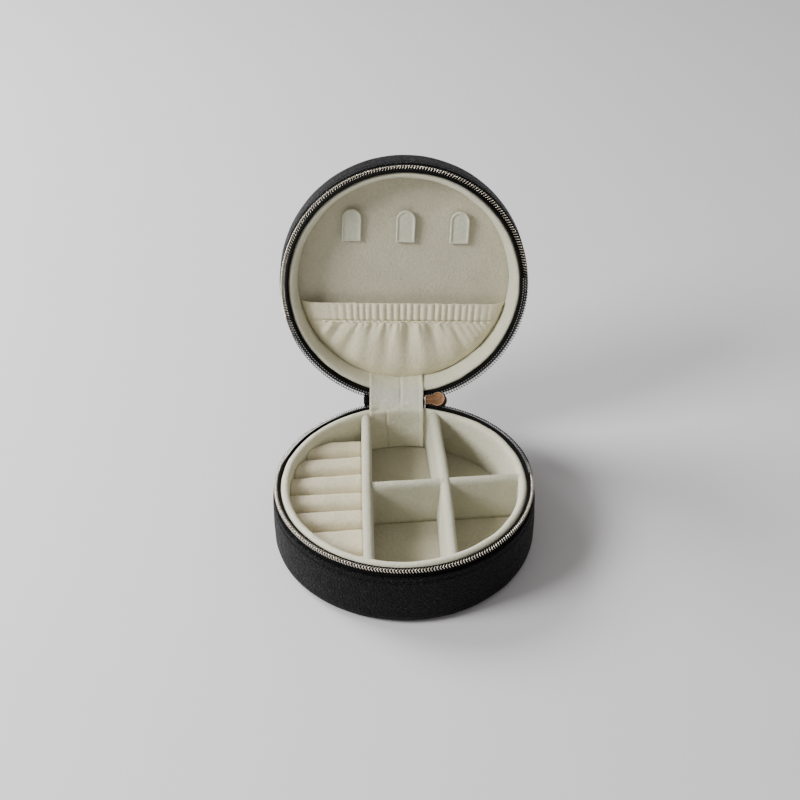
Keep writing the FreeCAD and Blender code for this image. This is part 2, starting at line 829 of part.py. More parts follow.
os.makedirs("parts", exist_ok=True)
for subpart in SUBPARTS:
    subpart.Shape.exportStep(f"parts/{subpart.Label}.step")
    print(f"{subpart.Label}: {subpart.Shape.Volume:.1f} mm3, {len(subpart.Shape.Solids)} solid")
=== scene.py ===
import json
import math

import bpy
import numpy as np
from mathutils import Matrix, Vector, noise


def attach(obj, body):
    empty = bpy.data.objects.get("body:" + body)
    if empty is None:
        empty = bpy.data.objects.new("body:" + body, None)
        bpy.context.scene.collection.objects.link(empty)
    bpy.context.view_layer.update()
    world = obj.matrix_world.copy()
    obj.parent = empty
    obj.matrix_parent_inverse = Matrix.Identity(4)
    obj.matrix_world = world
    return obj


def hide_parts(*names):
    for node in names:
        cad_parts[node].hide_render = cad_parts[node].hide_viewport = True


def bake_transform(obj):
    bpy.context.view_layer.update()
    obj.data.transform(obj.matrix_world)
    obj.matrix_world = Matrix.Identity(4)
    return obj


# A round zipped jewellery case, standing open.  Lengths here are millimetres until they become meshes.

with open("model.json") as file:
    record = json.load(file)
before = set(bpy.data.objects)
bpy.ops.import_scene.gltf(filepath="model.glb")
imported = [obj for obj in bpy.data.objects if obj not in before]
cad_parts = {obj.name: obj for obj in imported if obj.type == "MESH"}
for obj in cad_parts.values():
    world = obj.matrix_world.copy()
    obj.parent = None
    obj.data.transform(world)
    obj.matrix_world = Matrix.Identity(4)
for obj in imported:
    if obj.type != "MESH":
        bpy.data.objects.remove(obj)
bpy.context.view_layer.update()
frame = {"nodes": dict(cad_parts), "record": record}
RECORD = frame["record"]
JOINTS = {item["name"]: item for item in RECORD["behaviour"]["joints"]}
MM = 0.001
TAU = 2 * math.pi
noise.seed_set(7)       # without a seed, noise_vector differs from run to run

BELLY = 53.3            # outside radius of the base
LID_RADIUS = 52.6
FLOOR = 8.0             # height of the base's velvet floor
PANEL = 40.0            # height of the lid's panel, with the case closed
MATING = 28.4           # height where the two halves of the zip meet
SLIDER_ANGLE = 72.1     # where the slider is parked, in degrees from +X
POCKET_RADIUS = 44.8
POCKET_MOUTH = 9.1      # the pocket's top edge, towards the hinge from the lid's middle
STITCH_LINE = 17.2      # the foot of its elastic hem
PLEAT_PITCH = 2.95


# ---------------------------------------------------------------- poses


def turn_about(joint, degrees):
    """The movement of a joint's child, in millimetres."""
    place = Vector(joint["pos_m"]) / MM
    spin = Matrix.Rotation(math.radians(degrees), 4, Vector(joint["axis"]))
    return Matrix.Translation(place) @ spin @ Matrix.Translation(-place)


LID_OPEN = turn_about(JOINTS["lid_hinge"], -JOINTS["lid_hinge"]["range_deg"][1])
ZIP_OPEN = turn_about(JOINTS["zip_end_swing"], -JOINTS["zip_end_swing"]["range_deg"][1])


def moved(matrix, points):
    """Points carried by a matrix."""
    flat = np.asarray(points, float).reshape(-1, 3)
    if matrix is None:
        return flat
    m = np.array(matrix)
    return flat @ m[:3, :3].T + m[:3, 3]


def about_axis(degrees):
    """A turn about the case's vertical axis."""
    return Matrix.Rotation(math.radians(degrees), 4, "Z")


TAB_ROW = LID_OPEN @ about_axis(-0.5)
POCKET_PLACE = LID_OPEN @ about_axis(-1.3)
SLIDER_PLACE = ZIP_OPEN @ about_axis(SLIDER_ANGLE - 90)


# ---------------------------------------------------------------- mesh helpers


def piece(name, points, faces, body, material, place=None, replaces=()):
    """One mesh piece, smooth, riding on a CAD body."""
    mesh = bpy.data.meshes.new(name)
    mesh.from_pydata((moved(place, points) * MM).tolist(), [], faces)
    mesh.validate()
    mesh.shade_smooth()
    mesh.materials.append(material)
    obj = bpy.data.objects.new(name, mesh)
    bpy.context.scene.collection.objects.link(obj)
    if body:
        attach(obj, body)
    if replaces:
        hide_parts(*replaces)
    return obj


def grid_faces(rows, columns, wrap_rows=False, wrap_columns=False):
    """Quads over a grid of points stored row by row."""
    faces = []
    for i in range(rows if wrap_rows else rows - 1):
        for j in range(columns if wrap_columns else columns - 1):
            a = i * columns + j
            b = i * columns + (j + 1) % columns
            c = (i + 1) % rows * columns + (j + 1) % columns
            d = (i + 1) % rows * columns + j
            faces.append((a, b, c, d))
    return faces


def tube_faces(rows, columns):
    """Quads round a tube of points stored row by row, with both ends closed."""
    faces = grid_faces(rows, columns, False, True)
    faces.append(tuple(range(columns))[::-1])
    faces.append(tuple((rows - 1) * columns + k for k in range(columns)))
    return faces


def rounded(corners, steps=5):
    """A closed outline whose corners (x, y, radius) are rounded."""
    outline = []
    count = len(corners)
    for i, (x, y, radius) in enumerate(corners):
        here = np.array([x, y], float)
        before = np.array(corners[i - 1][:2], float) - here
        after = np.array(corners[(i + 1) % count][:2], float) - here
        before /= np.linalg.norm(before)
        after /= np.linalg.norm(after)
        half = math.acos(np.clip(before @ after, -1, 1)) / 2
        reach = radius / math.tan(half)
        middle = here + (before + after) / np.linalg.norm(before + after) * radius / math.sin(half)
        start = here + before * reach - middle
        end = here + after * reach - middle
        first = math.atan2(start[1], start[0])
        sweep = math.remainder(math.atan2(end[1], end[0]) - first, TAU)
        for k in range(steps + 1):
            a = first + sweep * k / steps
            outline.append(middle + radius * np.array([math.cos(a), math.sin(a)]))
    return np.array(outline)


def closer(outline, gap):
    """The outline with its long sides divided, so that no step is over gap."""
    points = []
    for here, there in zip(outline, np.roll(outline, -1, axis=0)):
        parts = max(1, math.ceil(np.linalg.norm(there - here) / gap))
        points.extend(here + (there - here) * k / parts for k in range(parts))
    return np.array(points)


def swelling(corners, steps=6):
    """A closed smooth curve through points (x, y)."""
    knots = np.array(corners, float)
    count = len(knots)
    curve = []
    for i in range(count):
        a, b, c, d = (knots[(i + k) % count] for k in (-1, 0, 1, 2))
        for k in range(steps):
            t = k / steps
            curve.append(0.5 * (2 * b + (c - a) * t + (2 * a - 5 * b + 4 * c - d) * t * t
                                + (3 * b - a - 3 * c + d) * t ** 3))
    return np.array(curve)


def lathe(outline, around=240, start=0.0, sweep=360.0):
    """A closed (radius, height) outline turned about Z, with closed ends when it isn't a full turn."""
    full = sweep >= 360
    angles = np.radians(start + sweep * np.arange(around) / (around if full else around - 1))
    points = np.array([[r * math.cos(a), r * math.sin(a), z] for a in angles for r, z in outline])
    count = len(outline)
    return points, grid_faces(around, count, True, True) if full else tube_faces(around, count)


def ripple(points, amount, size, seed=0.0):
    """Soft hand-made unevenness: every point strays by up to amount, over patches of that size."""
    shift = Vector((seed, seed * 0.7, -seed))
    stray = [noise.noise_vector(Vector(p) / size + shift) for p in points]
    return np.asarray(points) + np.array(stray) * amount


def strewn(shape, faces, places):
    """Copies of one small shape at many 4x4 places, as one mesh."""
    points = []
    all_faces = []
    for place in places:
        base = len(points)
        points.extend(moved(place, shape))
        all_faces.extend(tuple(base + k for k in face) for face in faces)
    return points, all_faces


def capsule(length, width, height, around=8, along=7):
    """A stitch or bead along X, pointed softly at both ends."""
    points = []
    for i in range(along):
        t = math.pi * (i + 0.5) / along
        for j in range(around):
            a = TAU * j / around
            points.append((-math.cos(t) * length / 2, math.cos(a) * math.sin(t) ** 0.6 * width / 2,
                           math.sin(a) * math.sin(t) ** 0.6 * height / 2))
    return np.array(points), tube_faces(along, around)


def stand(angle, radius, height):
    """A place on a circle about Z: X runs along the circle, Y outwards and Z up."""
    return about_axis(angle - 90) @ Matrix.Translation((0, radius, height))


# ---------------------------------------------------------------- materials


class Look:
    """A procedural material, built node by node."""

    def __init__(self, name, roughness, **sockets):
        self.material = bpy.data.materials.new(name)
        self.material.use_nodes = True
        self.tree = self.material.node_tree
        self.shader = self.tree.nodes["Principled BSDF"]
        self.shader.inputs["Roughness"].default_value = roughness
        for socket, value in sockets.items():
            self.shader.inputs[socket.replace("_", " ")].default_value = value
        self.coordinates = self.tree.nodes.new("ShaderNodeTexCoord").outputs["Object"]

    def node(self, kind, **settings):
        made = self.tree.nodes.new("ShaderNode" + kind)
        for name, value in settings.items():
            setattr(made, name, value)
        return made

    def link(self, start, end):
        self.tree.links.new(start, end)

    def noise(self, scale, detail=3.0, rough=0.5, stretch=None):
        """A noise of that many cells to the metre."""
        made = self.node("TexNoise")
        made.inputs["Scale"].default_value = scale
        made.inputs["Detail"].default_value = detail
        made.inputs["Roughness"].default_value = rough
        where = self.coordinates
        if stretch:
            mapping = self.node("Mapping")
            mapping.inputs["Scale"].default_value = stretch
            self.link(where, mapping.inputs["Vector"])
            where = mapping.outputs["Vector"]
        self.link(where, made.inputs["Vector"])
        return made.outputs["Fac"]

    def ramp(self, value, low, high, start=0.0, end=1.0):
        """Low to high as value goes from start to end."""
        made = self.node("MapRange")
        made.inputs["From Min"].default_value = low
        made.inputs["From Max"].default_value = high
        made.inputs["To Min"].default_value = start
        made.inputs["To Max"].default_value = end
        self.link(value, made.inputs["Value"])
        return made.outputs["Result"]

    def blend(self, factor, first, second):
        """A colour between two, which may be colours or sockets."""
        made = self.node("Mix", data_type="RGBA")
        self.link(factor, made.inputs["Factor"])
        for socket, colour in ((made.inputs[6], first), (made.inputs[7], second)):
            if isinstance(colour, bpy.types.NodeSocket):
                self.link(colour, socket)
            else:
                socket.default_value = (*colour, 1)
        return made.outputs[2]

    def total(self, first, second, weight=1.0):
        """first + weight * second."""
        made = self.node("Math", operation="MULTIPLY_ADD")
        self.link(second, made.inputs[0])
        made.inputs[1].default_value = weight
        self.link(first, made.inputs[2])
        return made.outputs[0]

    def colour(self, value):
        self.link(value, self.shader.inputs["Base Color"])

    def rough(self, value):
        self.link(value, self.shader.inputs["Roughness"])

    def relief(self, height, depth, strength=1.0):
        """Bumps of that depth in metres."""
        made = self.node("Bump")
        made.inputs["Distance"].default_value = depth
        made.inputs["Strength"].default_value = strength
        self.link(height, made.inputs["Height"])
        self.link(made.outputs["Normal"], self.shader.inputs["Normal"])


def velvet(name, light, dark, fold_shade=None):
    """Short-pile velvet: brushed patches, mottled pile, fine fibres and a little sheen.

    The last colour, if given, is painted on a band across the hinge: painted shade where the cloth folds.
    """
    look = Look(name, 0.95, Sheen_Weight=0.12, Sheen_Roughness=0.5, Specular_IOR_Level=0.08,
                Sheen_Tint=(1.0, 0.98, 0.90, 1))
    patches = look.ramp(look.noise(95, 3, 0.6), 0.32, 0.68)
    mottle = look.noise(760, 3, 0.65)
    fibres = look.noise(2500, 3, 0.7)
    pile = look.blend(patches, light, dark)
    # painted shade: a greyer band across the strap's fold, between two heights in y
    if fold_shade:
        split = look.node("SeparateXYZ")
        look.link(look.coordinates, split.inputs[0])
        band = look.node("Math", operation="MULTIPLY")
        look.link(look.ramp(split.outputs["Y"], 0.0470, 0.0500), band.inputs[0])
        look.link(look.ramp(split.outputs["Y"], 0.0545, 0.0580, 1.0, 0.0), band.inputs[1])
        pile = look.blend(band.outputs[0], pile, fold_shade)
    shade = tuple(c * 0.72 for c in dark)
    pile = look.blend(look.ramp(mottle, 0.38, 0.68, 0.0, 0.30), pile, shade)
    look.colour(look.blend(look.ramp(fibres, 0.42, 0.70, 0.0, 0.42), pile, shade))
    look.relief(look.total(mottle, fibres, 0.9), 0.00042, 0.85)
    return look.material


def leather(name, dark, light, gloss, shine):
    """Pebble-grained leather: rounded pebbles of uneven size, with fine creases between them."""
    look = Look(name, gloss, Specular_IOR_Level=shine)
    warp = look.node("TexNoise")
    warp.inputs["Scale"].default_value = 500
    look.link(look.coordinates, warp.inputs["Vector"])
    offset = look.node("VectorMath", operation="MULTIPLY_ADD")
    look.link(warp.outputs["Color"], offset.inputs[0])
    offset.inputs[1].default_value = (0.0007, 0.0007, 0.0007)
    look.link(look.coordinates, offset.inputs[2])
    cells = look.node("TexVoronoi", feature="DISTANCE_TO_EDGE")
    cells.inputs["Scale"].default_value = 760
    look.link(offset.outputs[0], cells.inputs["Vector"])
    pebble = look.ramp(cells.outputs["Distance"], 0.0, 0.22)
    height = look.total(pebble, look.noise(4200, 2), 0.25)
    height = look.total(height, look.noise(260, 2), 0.9)
    look.colour(look.blend(pebble, dark, light))
    look.rough(look.ramp(look.noise(700, 3), 0.3, 0.7, gloss - 0.06, gloss + 0.1))
    look.relief(height, 0.0006, 1.0)
    return look.material


def woven(name, dark, light):
    """Tightly woven tape: fine ribs with a little fluff."""
    look = Look(name, 0.85, Sheen_Weight=0.02, Specular_IOR_Level=0.05)
    ribs = look.noise(2400, 1, 0.5, (1, 1, 0.35))
    look.colour(look.blend(ribs, dark, light))
    look.relief(ribs, 0.0002, 0.6)
    return look.material


def metal(name, light, dark, roughness, scratch):
    """Plated metal with slight wear."""
    look = Look(name, roughness, Metallic=1.0)
    wear = look.noise(scratch, 4, 0.6)
    look.colour(look.blend(look.ramp(wear, 0.35, 0.7), light, dark))
    look.rough(look.ramp(wear, 0.3, 0.7, roughness - 0.05, roughness + 0.12))
    look.relief(look.noise(scratch * 6, 2), 0.00004, 0.4)
    return look.material


def plain_board(name, light, dark):
    """Pressed board or foam, out of sight."""
    look = Look(name, 0.9)
    grain = look.noise(1500, 3)
    look.colour(look.blend(grain, light, dark))
    look.relief(grain, 0.0002, 0.5)
    return look.material


CREAM = velvet("velvet_cream", (0.57, 0.55, 0.425), (0.51, 0.50, 0.38))
CREAM_RIM = velvet("velvet_rim", (0.76, 0.735, 0.575), (0.69, 0.675, 0.52))
CREAM_PANEL = velvet("velvet_panel", (0.61, 0.575, 0.43), (0.555, 0.525, 0.39))
CREAM_FLOOR = velvet("velvet_floor", (0.55, 0.51, 0.375), (0.48, 0.45, 0.33))
CREAM_ROLL = velvet("velvet_roll", (0.76, 0.685, 0.50), (0.70, 0.63, 0.455))
CREAM_TAB = velvet("velvet_tab", (0.70, 0.70, 0.55), (0.64, 0.65, 0.51))
CREAM_CLOTH = velvet("cloth_pocket", (0.87, 0.815, 0.59), (0.80, 0.75, 0.54))
# The strap's third colour is painted shade across its fold at the hinge.
STRAP = velvet("cloth_strap", (0.80, 0.75, 0.57), (0.69, 0.68, 0.52), (0.71, 0.715, 0.60))
BLACK = leather("leather_black", (0.0025, 0.0025, 0.003), (0.006, 0.006, 0.0065), 0.48, 0.17)
# painted shade: the base's copy of the black leather, a little darker than the lid's, and less shiny
BASE_BLACK = leather("leather_base", (0.0022, 0.0022, 0.0026), (0.005, 0.005, 0.0055), 0.48, 0.11)
TAPE = woven("tape_black", (0.002, 0.002, 0.002), (0.007, 0.007, 0.007))
COIL = metal("coil_pale_gold", (0.86, 0.82, 0.72), (0.62, 0.55, 0.44), 0.22, 900)
# painted shade: the coil where the tape half covers it
HALF_SHADE_COIL = metal("coil_half_shade", (0.34, 0.32, 0.29), (0.22, 0.20, 0.17), 0.28, 900)
# painted shade on the coil where the tape covers it; also the zip end's own black turns
DARK_COIL = metal("coil_dark", (0.05, 0.05, 0.055), (0.02, 0.02, 0.022), 0.3, 900)
ROSE = metal("slider_rose_gold", (0.115, 0.062, 0.033), (0.08, 0.04, 0.02), 0.42, 600)
ROSE_EDGE = metal("slider_light_edge", (0.42, 0.27, 0.18), (0.30, 0.18, 0.11), 0.40, 900)
BLACK_THREAD = woven("thread_black", (0.006, 0.006, 0.006), (0.02, 0.02, 0.021))
# painted highlights: the grey ticks on the tape over the covered coil
GLINT_GREY = woven("tape_glint_grey", (0.17, 0.17, 0.165), (0.32, 0.32, 0.31))
CREAM_THREAD = woven("thread_cream", (0.88, 0.86, 0.70), (0.95, 0.94, 0.82))
BOARD = plain_board("pressed_board", (0.10, 0.09, 0.08), (0.06, 0.055, 0.05))
FOAM = plain_board("foam", (0.75, 0.73, 0.64), (0.66, 0.64, 0.56))


# ---------------------------------------------------------------- leather shell


STITCH_PITCH = 2.7


def ring_of_stitches(name, radius, height, size, body, place=None):
    """A row of black stitches round the case."""
    count = round(TAU * radius / STITCH_PITCH)
    shape, faces = capsule(*size)
    places = [stand(360 * k / count, radius, height) for k in range(count)]
    points, all_faces = strewn(shape, faces, places)
    piece(name, points, all_faces, body, BLACK_THREAD, place)


def base_leather():
    """The base's side: a soft belly, a rolled foot, and a folded rim with a sewn channel below it."""
    outline = rounded([
        (44.0, 0.0, 0.2), (BELLY, 0.0, 4.2), (BELLY + 0.15, 12.0, 30.0), (53.15, 21.2, 0.8),
        (52.85, 21.9, 0.35), (53.05, 22.6, 0.35), (52.9, 24.3, 0.55), (51.75, 24.3, 0.4), (52.1, 1.4, 2.6),
        (44.0, 1.2, 0.2)], 4)
    points, faces = lathe(closer(outline, 1.6), 260)
    points = ripple(points, 0.10, 9.0, 1.0)
    points[:, 2] = np.maximum(points[:, 2], 0.0)
    piece("base_leather_side", points, faces, "base", BASE_BLACK, None, ["base_side_leather"])
    ring_of_stitches("base_rim_stitches", 52.93, 21.95, (1.9, 0.5, 0.42), "base")


def lid_leather():
    """The lid's side and top: a softly rounded shoulder and a sewn ring round the top panel."""
    outline = rounded([
        (51.75, 32.2, 0.3), (52.5, 32.2, 0.5), (52.65, 34.0, 0.4), (52.35, 34.6, 0.3), (52.65, 35.4, 0.6),
        (LID_RADIUS + 0.35, 43.0, 20.0), (LID_RADIUS, 49.9, 5.2), (44.6, 50.1, 0.8), (44.0, 49.4, 0.3),
        (44.0, 49.05, 0.1), (51.8, 49.1, 4.0)], 4)
    points, faces = lathe(closer(outline, 1.6), 260)
    points = ripple(points, 0.10, 9.0, 2.0)
    piece("lid_leather_side", points, faces, "lid", BLACK, LID_OPEN, ["lid_side_leather"])
    crown = rounded([
        (0.05, 48.95, 0.01), (43.8, 48.95, 0.3), (43.9, 50.1, 0.7), (36.0, 50.55, 20.0),
        (0.05, 50.6, 0.01)], 4)
    points, faces = lathe(closer(crown, 2.5), 200)
    points = ripple(points, 0.06, 9.0, 3.0)
    piece("lid_leather_top", points, faces, "lid", BLACK, LID_OPEN, ["lid_top_leather"])
    ring_of_stitches("lid_rim_stitches", 52.35, 34.55, (1.9, 0.5, 0.42), "lid", LID_OPEN)
    ring_of_stitches("lid_top_stitches", 45.6, 50.02, (1.9, 0.42, 0.5), "lid", LID_OPEN)


def underside():
    """The base's underside: a leather disc let into the rolled foot."""
    crown = rounded([(0.05, 0.0, 0.01), (43.7, 0.0, 0.5), (43.7, 1.15, 0.2), (0.05, 1.15, 0.01)], 3)
    points, faces = lathe(closer(crown, 2.5), 160)
    piece("base_leather_underside", points, faces, "base", BLACK, None, ["base_underside_leather"])


# ---------------------------------------------------------------- lining of the base


def base_lining():
    """The collar with its padded lip, and the floor."""
    outline = swelling([
        (46.4, 3.2), (48.0, 3.1), (49.7, 3.2), (49.8, 12.0), (49.8, 21.0), (49.9, 24.5), (49.85, 26.2),
        (49.35, 27.4), (48.3, 28.0), (47.1, 27.6), (46.5, 26.4), (46.4, 24.0), (46.4, 18.0), (46.4, 9.0)])
    points, faces = lathe(outline, 300)
    points = ripple(ripple(points, 0.12, 5.0, 4.0), 0.38, 15.0, 4.5)
    piece("base_velvet_collar", points, faces, "base", CREAM_RIM, None, ["base_lining_collar"])
    outline = rounded([(0.05, 6.1, 0.01), (46.3, 6.1, 0.3), (46.3, 7.95, 0.8), (0.05, 8.0, 0.01)], 5)
    points, faces = lathe(closer(outline, 2.0), 200)
    points = ripple(points, 0.08, 12.0, 5.0)
    piece("base_velvet_floor", points, faces, "base", CREAM_FLOOR, None, ["base_floor_panel"])


def bar(name, stations, seed, replaces):
    """A padded divider through stations of (crest x, crest y, foot x, foot y), with a rounded crest."""
    thick = 2.1         # half its thickness
    crest = 27.6
    count = len(stations)
    rows = []
    for i, (tx, ty, fx, fy) in enumerate(stations):
        ahead = stations[min(i + 1, count - 1)]
        behind = stations[max(i - 1, 0)]
        along = np.array([ahead[0] - behind[0], ahead[1] - behind[1]])
        along /= np.linalg.norm(along)
        across = np.array([along[1], -along[0], 0.0])
        section = []
        foot = np.array([fx, fy, FLOOR + 0.02])
        shoulder = np.array([tx, ty, crest - thick])
        up = (shoulder - foot) / np.linalg.norm(shoulder - foot)
        steps = 10
        swell = [1 + 0.035 * math.sin(math.pi * k / steps) for k in range(steps)]
        for k in range(steps):
            section.append(foot + (shoulder - foot) * k / steps - across * thick * swell[k])
        for k in range(13):
            a = math.pi * k / 12
            section.append(shoulder - across * thick * math.cos(a) + up * thick * math.sin(a))
        for k in reversed(range(steps)):
            section.append(foot + (shoulder - foot) * k / steps + across * thick * swell[k])
        rows.append(section)
    size = len(rows[0])
    points = ripple(np.array(rows).reshape(-1, 3), 0.13, 5.0, seed)
    points[:, 2] = np.maximum(points[:, 2], FLOOR)
    faces = grid_faces(count, size, False, True)
    faces.append(tuple(range(size)))
    faces.append(tuple((count - 1) * size + k for k in reversed(range(size))))
    piece(name, points, faces, "base", CREAM, None, [replaces])


def dividers():
    """The straight one, the leaning one that bends, and the two lengths of the cross one."""
    end = math.sqrt(46.35 ** 2 - 15.0 ** 2) + 0.9
    rows = [(-15.0 + 0.012 * max(0.0, y), y, -15.0, y) for y in np.linspace(-end, end, 44)]
    bar("divider_velvet_left", rows, 6.0, "divider_left")
    rows = []
    for y in np.linspace(-44.0, 45.2, 44):
        shift = -math.tan(math.radians(2.5)) * (math.hypot(y + 2.0, 2.0) + y + 2.0) / 2
        rows.append((16.9 + shift, y, 15.36 + shift, y))
    bar("divider_velvet_right", rows, 7.0, "divider_right")
    slope = math.tan(math.radians(2.6))

    def cross(x):
        return (x, -0.9 + slope * x, x, -2.0 + slope * x)

    for side, start, end, seed in (("left", -13.1, 15.6, 8.0), ("right", 17.6, 47.0, 9.0)):
        rows = [cross(x) for x in np.linspace(start, end, 20)]
        bar(f"divider_velvet_cross_{side}", rows, seed, f"divider_cross_{side}")


def ring_rolls():
    """Padded rolls between the divider and the wall.  They rise and swing forward towards the wall."""
    seams = (38.6, 28.4, 17.0, 4.9, -5.5, -16.6, -32.6, -41.6)      # y of the creases at the divider
    swings = (-4.5, -6.0, -6.5, -5.0, -4.5, -3.5, -1.0, 0.0)        # how far each has moved at the wall
    rises = (4.2, 4.2, 4.2, 4.0, 3.2, 2.0, 0.6)
    near = -17.0        # x of their ends at the divider
    belt = 14.0         # height where each is widest
    drop = 5.95         # from there to its foot
    along, around = 40, 44
    for index in range(7):
        points = []
        for i in range(along):
            u = i / (along - 1)
            back = seams[index] + swings[index] * u
            front = seams[index + 1] + swings[index + 1] * u
            wall = -math.sqrt(max(46.3 ** 2 - ((back + front) / 2) ** 2, 0.0))
            reach = math.sqrt(47.2 ** 2 - (near + (wall - near) * u) ** 2)
            back = min(back, reach)
            front = max(front, -reach)
            middle = (back + front) / 2
            half = max((back - front) / 2, 0.6) - 0.03
            full = 1 - 0.05 * max(0.0, 1 - u * 22) ** 2
            top = 19.4 + rises[index] * u
            for j in range(around):
                a = TAU * j / around
                side = math.copysign(abs(math.cos(a)) ** 0.62, math.cos(a))
                rise = math.copysign(abs(math.sin(a)) ** (0.72 if math.sin(a) > 0 else 0.3), math.sin(a))
                y = middle + side * half * full
                far = -math.sqrt(max(46.45 ** 2 - y * y, 20.0 ** 2))
                x = near + (far - near) * u
                z = belt + (rise * (top - belt) * full if rise > 0 else rise * drop)
                points.append((x, y, z))
        points = ripple(points, 0.20, 6.0, 10.0 + index)
        points[:, 2] = np.maximum(points[:, 2], FLOOR + 0.05)
        roll = piece(f"ring_velvet_roll_{index + 1}", points, tube_faces(along, around), "base", CREAM_ROLL,
                     None, [f"ring_roll_{index + 1}"])


# ---------------------------------------------------------------- zip

COIL_PITCH = 1.18
ZIP_FIRST = -253.6      # where the zip starts, left of the strap
ZIP_LAST = 68.5         # where it ends, in the slider
TAPE_FIRST = -256.6     # the tapes run on behind the strap
TAPE_LAST = 77.0


def rod(path, radius, around=10):
    """A round wire along a path of points."""
    path = np.array(path, float)
    points = []
    side = None
    for i, here in enumerate(path):
        ahead = path[min(i + 1, len(path) - 1)] - path[max(i - 1, 0)]
        ahead /= np.linalg.norm(ahead)
        if side is None:
            side = np.cross(ahead, (0.0, 0.0, 1.0) if abs(ahead[2]) < 0.9 else (1.0, 0.0, 0.0))
        side = side - ahead * (side @ ahead)
        side /= np.linalg.norm(side)
        other = np.cross(ahead, side)
        for k in range(around):
            a = TAU * k / around
            points.append(here + radius * (math.cos(a) * side + math.sin(a) * other))
    return np.array(points), tube_faces(len(path), around)


def coil_turn(radial, tall, lean):
    """One turn of the coil: a strand over the top and down the outside, bent into a chevron."""
    wire = 0.22
    r, h = radial / 2 - wire, tall / 2 - wire
    path = [(0.55 * lean, -r, h - 0.35), (0.42 * lean, -r, h - 0.05), (0.1 * lean, -0.2 * r, h),
            (-0.3 * lean, 0.7 * r, h), (-0.45 * lean, r, 0.75 * h), (-0.2 * lean, r + 0.05, 0.2 * h),
            (0.15 * lean, r, -0.45 * h), (0.45 * lean, r - 0.1, -h)]
    return rod(path, wire, 6)


def hump(angle, start, end, ease=16.0):
    """0 outside start to end, in degrees, 1 inside, with soft ends."""
    return 1 / (1 + math.exp((start - angle) * 4 / ease)) / (1 + math.exp((angle - end) * 4 / ease))


def coil(name, radius, radial, height, lean, place, body, replaces, covered):
    """A row of coil turns round the mouth.  Where the tape covers them they are painted darker, as painted
    shade under the tape.
    """
    count = round(math.radians(ZIP_LAST - ZIP_FIRST) * radius / COIL_PITCH)
    shape, faces = coil_turn(radial, 1.85, lean)
    angles = [ZIP_FIRST + (ZIP_LAST - ZIP_FIRST) * (k + 0.5) / count for k in range(count)]
    places = [stand(angle, radius + 0.4 * covered(angle), height) for angle in angles]
    points, all_faces = strewn(shape, faces, places)
    obj = piece(name, points, all_faces, body, COIL, place, [replaces])
    obj.data.materials.append(HALF_SHADE_COIL)
    obj.data.materials.append(DARK_COIL)
    for k, angle in enumerate(angles):
        hidden = covered(angle)
        for face in range(k * len(faces), (k + 1) * len(faces)):
            # painted shade: turns under the tape get the darker materials
            obj.data.polygons[face].material_index = int(hidden > 0.2) + int(hidden > 0.75)


def tape(name, inner, edge, root, place, body, replaces, covered):
    """The woven tape: from the leather to the coil's side, and back again inside the coil.

    It stands a little higher and further out where it covers the coil.
    """
    away = 1 if edge > root else -1
    folds = ((1.0, 1.9), (1.0, 0.8), (0.8, 0.45), (0.3, 0.35), (0.0, 0.8), (0.0, 3.6), (0.25, 3.6),
             (0.35, 1.3), (0.6, 1.1), (0.65, 2.0))
    outline = np.array([
        (51.35, root), (51.75, root), (51.75, edge - 3.0 * away),
        *((inner + out, edge - down * away) for out, down in folds),
        (51.35, edge - 3.2 * away)])
    points, faces = lathe(closer(outline, 0.8), 230, TAPE_FIRST, TAPE_LAST - TAPE_FIRST)
    for k, (x, y, z) in enumerate(points):
        near = covered(math.degrees(math.atan2(y, x))) * min(1.0, max(0.0, 1.5 - abs(edge - z) / 1.5))
        out = 1 + (51.6 - inner) * 0.4 * near * max(0.0, min(1.0, (math.hypot(x, y) - inner - 0.55) * 3)) / 51
        points[k] = (x * out, y * out, z + 0.35 * away * near)
    piece(name, points, faces, body, TAPE, place, [replaces])


def cover(start, end):
    """How far a tape hides its coil round the case: fully from start to end, in degrees from +X."""
    return lambda angle: hump((angle + 90) % 360 - 90, start, end)


def zip_halves():
    """Both tapes and both coils, with grey ticks on the tape's inner side where it covers the coil: painted
    highlights of the turns beneath.
    """
    shape, faces = capsule(0.6, 0.5, 0.4)
    count = round(math.radians(TAPE_LAST - TAPE_FIRST) * 50.6 / COIL_PITCH)
    step = (TAPE_LAST - TAPE_FIRST) / count
    for side, radius, radial, inner, coil_height, lean, edge, root, place, covered in (
            ("base", 51.75, 1.4, 50.0, 27.1, -0.8, 27.95, 17.0, None, cover(6, 116)),
            ("lid", 51.2, 1.75, 49.05, 29.65, 0.8, 28.85, 39.0, LID_OPEN, cover(-4, 158))):
        away = 1 if edge > root else -1
        coil(f"{side}_coil", radius, radial, coil_height, lean, place, side, f"{side}_zip_coil", covered)
        tape(f"{side}_tape", inner, edge, root, place, side, f"{side}_zip_tape", covered)
        # painted highlights: grey ticks along the tape, only where it covers the coil, for the glints of the
        # covered turns
        places = []
        for k in range(count):
            angle = TAPE_FIRST + step * (k + 0.5)
            near = covered(angle)
            if near > 0.3:
                places.append(stand(angle, inner + 1.15, edge + (0.35 * near - 0.22) * away))
                if side == "lid":
                    places.append(stand(angle + step / 2, inner + 2.1, edge + (0.35 * near - 0.25) * away))
        points, all_faces = strewn(shape, faces, places)
        piece(f"{side}_tape_glint_ticks", points, all_faces, side, GLINT_GREY, place)


